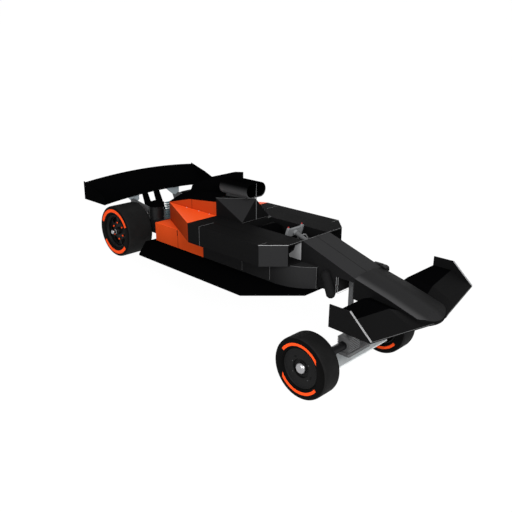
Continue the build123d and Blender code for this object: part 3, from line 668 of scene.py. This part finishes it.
tip_red, tip_shader, spot = finish("tip_red", Specular_IOR_Level=0.2)
dimple = noise(spot, 300.0, 1.0)
feed(
    tip_shader, Base_Color=mixed(dimple, (0.42, 0.006, 0.006, 1), (0.55, 0.01, 0.01, 1)),
    Roughness=dimple * 0.1 + 0.4, Normal=bump(dimple, 0.0003, 0.3),
)
grip_end = [(0.674, -0.123, 0.557), (0.680, -0.123, 0.571)]
beads("grip_tips", both_sides([grip_end]), 0.008, tip_red, "steering_wheel")
cup_grey = brushed_satin("cup_grey", (0.22, 0.22, 0.225, 1), (0.28, 0.28, 0.285, 1))
# A near-black disc in the cup's mouth stands for its hole: painted shade.
cup_hole_shade = cast_metal(
    "cup_hole_shade", (0.0006, 0.0006, 0.0006, 1), (0.001, 0.001, 0.001, 1), 0.8, 200.0, 0.0003, shine=0.0
)
cup_x, cup_y, cup_z = 0.712, 0.051, 0.413
mouth_y, mouth_z = cup_y - 0.004, cup_z + 0.003
cup_line = [(cup_x, cup_y, cup_z), (cup_x + 0.016, mouth_y, mouth_z)]
hole_line = [(cup_x + 0.010, cup_y, cup_z), (cup_x + 0.019, mouth_y, mouth_z)]
beads("column_cup", [cup_line], 0.042, cup_grey)
beads("column_cup_hole_shade", [hole_line], 0.026, cup_hole_shade)
handle_bends = ((0.085, 0.430), (0.120, 0.436), (0.155, 0.424), (0.182, 0.396), (0.200, 0.358))
handle = [(cup_x + 0.006, y, z) for y, z in handle_bends]
beads("column_handle", chain(handle), 0.008, cup_grey)

# Wheels: slick rubber tyres on black cast rims, each held on its spindle by a steel nut. The front
# rims close with a shallow disc round a domed nut. The rear ones are deep, with six spokes, six
# orange pins and a long hub nose. Two orange arcs are painted on each wall of each tyre. The treads
# are painted lighter than the walls, a painted highlight.
TYRE_RADIUS = 0.370
RIM_RADIUS = 0.240
TREAD_INSET = 0.0055
TREAD_INNER_RADIUS = 0.350
BORE = 0.0315
ARC_LIFT = 0.0012
ARC_DEPTH = 0.003
CRISP_ANGLE = radians(60)
tyre_wall = (
    (RIM_RADIUS, 0.030), (0.247, 0.016), (0.254, 0.010), (0.259, 0.010), (0.264, 0.004),
    (0.290, 0.001), (0.322, 0.0), (0.346, 0.002), (0.359, 0.008), (0.3665, 0.018), (0.3695, 0.032),
    (TYRE_RADIUS, 0.060),
)


def spun(corners, start=0.0, sweep=tau, steps=96):
    """A profile of (radius, y) corners turned about the wheel's axis, closed on itself."""
    shape = bmesh.new()
    points = [shape.verts.new((radius, y, 0)) for radius, y in corners]
    edges = [shape.edges.new(two) for two in zip(points, points[1:] + points[:1])]
    about = Vector((0, -1, 0))
    bmesh.ops.rotate(shape, verts=points, cent=(0, 0, 0), matrix=Matrix.Rotation(start, 3, about))
    bmesh.ops.spin(
        shape, geom=points + edges, cent=(0, 0, 0), axis=about, dvec=(0, 0, 0), angle=sweep,
        steps=steps, use_merge=sweep == tau, use_normal_flip=False, use_duplicate=False,
    )
    bmesh.ops.remove_doubles(shape, verts=shape.verts, dist=1e-6)
    return shape


def joined(shapes):
    """Several bmeshes in one."""
    whole = bmesh.new()
    for shape in shapes:
        mesh = bpy.data.meshes.new("joined")
        shape.to_mesh(mesh)
        whole.from_mesh(mesh)
        bpy.data.meshes.remove(mesh)
        shape.free()
    return whole


def wall_inset(radius):
    """How far in from the widest plane the tyre's wall lies at a radius."""
    for (r0, y0), (r1, y1) in zip(tyre_wall, tyre_wall[1:]):
        if r0 <= radius <= r1:
            return y0 + (y1 - y0) * (radius - r0) / (r1 - r0)


def arc(half_width, outer_wall, radii, start, end, cut=None):
    """A painted arc, a thin skin on the tyre's wall. cut ends it on an upright line at that x."""
    inner, outer = radii
    rows = [inner + (outer - inner) * step / 4 for step in range(5)]
    face = [(radius, wall_inset(radius) - half_width - ARC_LIFT) for radius in rows]
    corners = face + [(radius, y + ARC_DEPTH) for radius, y in reversed(face)]
    shape = spun(corners, radians(start), radians(end - start), steps=40)
    if cut:
        bmesh.ops.bisect_plane(
            shape, geom=shape.verts[:] + shape.edges[:] + shape.faces[:], dist=1e-6,
            plane_co=(cut, 0, 0), plane_no=(1 if cut > 0 else -1, 0, 0), clear_outer=True,
            clear_inner=False,
        )
    ends = [edge for edge in shape.edges if edge.is_boundary]
    bmesh.ops.holes_fill(shape, edges=ends, sides=0)
    if not outer_wall:
        bmesh.ops.scale(shape, vec=(1, -1, 1), verts=shape.verts)
    return shape


def crisp_edges(shape):
    """Edges where two faces meet at a steep angle."""
    return [
        edge
        for edge in shape.edges
        if len(edge.link_faces) == 2 and edge.calc_face_angle() > CRISP_ANGLE
    ]


def on_circle(radius, degrees, y):
    """A point on a circle about the wheel's axis."""
    return radius * cos(radians(degrees)), y, radius * sin(radians(degrees))


def stud(radius, length, place, segments=24, bevel=0.002):
    """A round pin along the wheel's axis with its outer edge rounded."""
    shape = bmesh.new()
    bmesh.ops.create_cone(
        shape, cap_ends=True, cap_tris=False, segments=segments, radius1=radius, radius2=radius,
        depth=length, matrix=Matrix.Translation(place) @ Matrix.Rotation(radians(90), 4, "X"),
    )
    bmesh.ops.bevel(
        shape, geom=crisp_edges(shape), offset=bevel, affect="EDGES", segments=2, profile=0.5,
        material=-1,
    )
    return shape


def rubber(name, dark, scuffed):
    """Black rubber, fine-grained, with lighter scuffs."""
    made, shader, spot = finish(name, Specular_IOR_Level=0.05)
    grit = noise(spot, 340.0, 2.0)
    scuff = noise(spot, 9.0, 4.0)
    feed(
        shader,
        Base_Color=mixed(scuff, (dark, dark, dark, 1), (scuffed, scuffed, scuffed, 1)),
        Roughness=grit * 0.2 + 0.62,
        Normal=bump(grit, 0.0005, 0.4),
    )
    return made


# The tread is a lighter copy of the walls' rubber, a painted highlight.
wall_rubber = rubber("wall_rubber", 0.0004, 0.0014)
lit_tread_rubber = rubber("lit_tread_rubber", 0.005, 0.012)
band_orange = paint("band_orange", (0.85, 0.072, 0.012, 1), (0.95, 0.09, 0.016, 1), 0.5)
rim_black = cast_metal(
    "rim_black", (0.0018, 0.0019, 0.002, 1), (0.0032, 0.0033, 0.0034, 1), 0.5, 500.0, 0.0002
)
# Near-black for the studs and blocks that stand for holes and slots: painted shade.
pocket_shade_black = cast_metal(
    "pocket_shade_black", (0.0008, 0.0008, 0.0008, 1), (0.0012, 0.0012, 0.0012, 1), 0.7, 300.0, 0.0002
)
nut_steel, nut_shader, spot = finish("nut_steel", Metallic=1.0)
swirl = noise(spot, 40.0, 3.0)
feed(
    nut_shader, Base_Color=mixed(swirl, (0.30, 0.30, 0.31, 1), (0.42, 0.42, 0.43, 1)),
    Roughness=swirl * 0.1 + 0.22, Normal=bump(noise(spot, 800.0, 1.0), 0.0001, 0.3),
)
bolt_grey = cast_metal(
    "bolt_grey", (0.05, 0.051, 0.052, 1), (0.07, 0.071, 0.072, 1), 0.5, 400.0, 0.0002
)

front_nut = [
    (0.0, -0.135), (0.022, -0.1342), (0.040, -0.1312), (0.054, -0.1245), (0.063, -0.114),
    (0.068, -0.101), (0.069, -0.088), (0.069, -0.074), (0.0, -0.074),
]
front_rim = [
    (BORE, -0.073), (0.104, -0.074), (0.110, -0.078), (0.1115, -0.096), (0.114, -0.101),
    (0.119, -0.103), (0.124, -0.1015), (0.205, -0.1085), (0.212, -0.1065), (0.219, -0.1065),
    (0.2255, -0.113), (0.233, -0.1165), (RIM_RADIUS, -0.112), (RIM_RADIUS, 0.111), (0.228, 0.111),
    (0.228, -0.055), (0.070, -0.052), (0.070, 0.095), (BORE, 0.095),
]
rear_nut = [
    (0.0, -0.248), (0.020, -0.2475), (0.027, -0.244), (0.030, -0.238), (0.030, -0.196),
    (0.034, -0.193), (0.034, -0.188), (0.0, -0.188),
]
rear_rim = [
    (BORE, -0.100), (0.043, -0.184), (0.047, -0.180), (0.052, -0.150), (0.060, -0.066),
    (0.112, -0.062), (0.118, -0.070), (0.222, -0.082), (0.228, -0.100), (0.228, -0.142),
    (0.217, -0.150), (0.215, -0.160), (0.227, -0.172), (0.230, -0.183), (0.236, -0.186),
    (RIM_RADIUS, -0.181), (RIM_RADIUS, 0.181), (0.228, 0.181), (0.228, -0.031), (0.070, -0.025),
    (0.070, 0.165), (BORE, 0.165),
]
SPOKES = 6
SPOKE_STEP = 360 / SPOKES
SPOKE_HALF_ANGLE = radians(9)
SPOKE_PLANE = -0.128
WINDOW_INNER = 0.138
WINDOW_OUTER = 0.205
PIN_CIRCLE = 0.120
FIRST_PIN = 95


def spoke_disc():
    """Pressed disc with six windows, with rounded edges, open between hub and barrel."""
    shape = bmesh.new()
    rows = (0.050, 0.075, 0.100, WINDOW_INNER, WINDOW_OUTER, 0.228)
    line = [shape.verts.new((radius, SPOKE_PLANE, 0)) for radius in rows]
    edges = [shape.edges.new(two) for two in zip(line, line[1:])]
    bmesh.ops.spin(
        shape, geom=line + edges, cent=(0, 0, 0), axis=(0, -1, 0), dvec=(0, 0, 0), angle=tau,
        steps=72, use_merge=True, use_normal_flip=False, use_duplicate=False,
    )
    bmesh.ops.remove_doubles(shape, verts=shape.verts, dist=1e-6)
    windows = []
    for face in shape.faces:
        middle = face.calc_center_median().xz
        past_gap = middle.angle_signed(Vector((1, 0))) - radians(FIRST_PIN + SPOKE_STEP / 2)
        from_spoke = abs(past_gap % radians(SPOKE_STEP) - radians(SPOKE_STEP / 2))
        if WINDOW_INNER < middle.length < WINDOW_OUTER and from_spoke > SPOKE_HALF_ANGLE:
            windows.append(face)
    bmesh.ops.delete(shape, geom=windows, context="FACES")
    bmesh.ops.recalc_face_normals(shape, faces=shape.faces)
    bmesh.ops.solidify(shape, geom=shape.faces[:], thickness=0.014)
    bmesh.ops.bevel(
        shape, geom=crisp_edges(shape), offset=0.002, affect="EDGES", segments=1, profile=0.5,
        material=-1, clamp_overlap=True,
    )
    return shape


wheels = (
    ("front", "right", 1.566, -0.767, -0.705, 0.135),
    ("front", "left", 1.566, 0.767, -0.705, 0.135),
    ("rear", "right", -2.024, -0.664, 0.086, 0.205),
    ("rear", "left", -2.024, 0.664, 0.086, 0.205),
)
POCKET_Y, RIM_BOLT_Y = -0.1045, -0.104
for end, side, wheel_x, wheel_y, wheel_z, half_width in wheels:
    label = end + "_" + side
    body = "wheel_" + label
    place = body_place @ Matrix.Translation((wheel_x, wheel_y, wheel_z))
    if side == "left":
        place = place @ Matrix.Diagonal((1, -1, 1, 1))
    wall = [(radius, inset - half_width) for radius, inset in tyre_wall]
    tyre = spun(wall + [(radius, -y) for radius, y in reversed(wall)], steps=128)
    for face in tyre.faces:
        middle = face.calc_center_median()
        inside_walls = abs(middle.y) < half_width - TREAD_INSET
        face.material_index = int(inside_walls and middle.xz.length > TREAD_INNER_RADIUS)
    from_shape(
        "tyre_" + label + "_rubber", tyre, wall_rubber, body, place, ["tyre_" + label], smooth=40,
        second=lit_tread_rubber,
    )
    if end == "front":
        arcs = ((0.273, 0.306), 30, 146.5, 0.236), ((0.273, 0.306), -152, -35.5, -0.243)
    else:
        arcs = ((0.283, 0.328), 22, 160, None), ((0.283, 0.328), -146, -38, None)
    bands = [
        arc(half_width, outer_wall, radii, start, stop, cut)
        for outer_wall in (True, False) for radii, start, stop, cut in arcs
    ]
    from_shape(
        "tyre_arcs_" + label, joined(bands), band_orange, body, place,
        smooth=40,
    )
    if end == "front":
        rim, nut = spun(front_rim), spun(front_nut)
        pockets = []
        # Near-black studs stand for the rim's two oblong holes, their black painted shade.
        for radius, angle in ((0.146, 125), (0.160, -25)):
            pocket = stud(0.0105, 0.006, (0, 0, 0), bevel=0.0015)
            turn = Matrix.Rotation(-radians(angle), 3, "Y")
            bmesh.ops.scale(pocket, vec=(1.0, 1.0, 2.0), verts=pocket.verts)
            bmesh.ops.rotate(pocket, verts=pocket.verts, cent=(0, 0, 0), matrix=turn)
            bmesh.ops.translate(pocket, verts=pocket.verts, vec=on_circle(radius, angle, POCKET_Y))
            pockets.append(pocket)
        rim_bolts = [
            stud(0.006, 0.008, on_circle(radius, angle, RIM_BOLT_Y), 12, 0.001)
            for radius, angle in ((0.130, 156), (0.150, -46), (0.135, 34), (0.135, -146))
        ]
        details = (
            ("rim_pockets_", pockets, pocket_shade_black, "wheel_dark"),
            ("rim_bolts_", rim_bolts, bolt_grey, "grey_metal"),
        )
    else:
        rim, nut = spun(rear_rim), spun(rear_nut)
        pin_places = [
            on_circle(PIN_CIRCLE, FIRST_PIN + number * SPOKE_STEP, SPOKE_PLANE)
            for number in range(SPOKES)
        ]
        pins = [stud(0.0125, 0.040, pin_place) for pin_place in pin_places]
        collars = [stud(0.018, 0.022, pin_place, bevel=0.003) for pin_place in pin_places]
        details = (
            ("rim_spokes_", [spoke_disc()] + collars, rim_black, "wheel_dark"),
            ("rim_pins_", pins, band_orange, "paint_orange"),
        )
    for name, shapes, material, slot in details:
        from_shape(name + label, joined(shapes), material, body, place, smooth=40)
    from_shape("rim_" + label + "_cast", rim, rim_black, body, place, ["rim_" + label], smooth=40)
    from_shape("nut_" + label, nut, nut_steel, body, place, smooth=40)

# Fixings: one white-painted bolt on the outside of each hub carrier and three along each rear deck,
# and a near-black block high on each lower rear side, which paints the shade of a slot.
bolt_white = cast_metal(
    "bolt_white", (0.55, 0.55, 0.55, 1), (0.66, 0.66, 0.66, 1), 0.4, 400.0, 0.0002
)
SLOT_SIZE = (0.013, 0.003, 0.088)
ACROSS, UPRIGHT = 0, radians(90)
bolt_places = (
    (-1.826, 0.412, 0.313, ACROSS), (-0.62, 0.262, 0.506, UPRIGHT), (-0.84, 0.262, 0.506, UPRIGHT),
    (-1.10, 0.262, 0.506, UPRIGHT),
)
bolts = []
for x, y, z, turn in bolt_places:
    for outward in (-1, 1):
        bolt = stud(0.006, 0.008, (0, 0, 0), 12, 0.001)
        place = Matrix.Translation((x, outward * y, z)) @ Matrix.Rotation(turn, 4, "X")
        bmesh.ops.transform(bolt, matrix=place, verts=bolt.verts)
        bolts.append(bolt)
from_shape("body_bolts", joined(bolts), bolt_white, "chassis", smooth=40)
slots = bmesh.new()
for outward in (1, -1):
    cut = bmesh.ops.create_cube(slots, size=1)["verts"]
    bmesh.ops.scale(slots, vec=SLOT_SIZE, verts=cut)
    bmesh.ops.translate(slots, verts=cut, vec=(-1.040, outward * 0.492, 0.200))
bmesh.ops.bevel(
    slots, geom=slots.edges[:], offset=0.001, affect="EDGES", segments=1, profile=0.5, material=-1
)
from_shape("side_slots", slots, pocket_shade_black, "chassis")
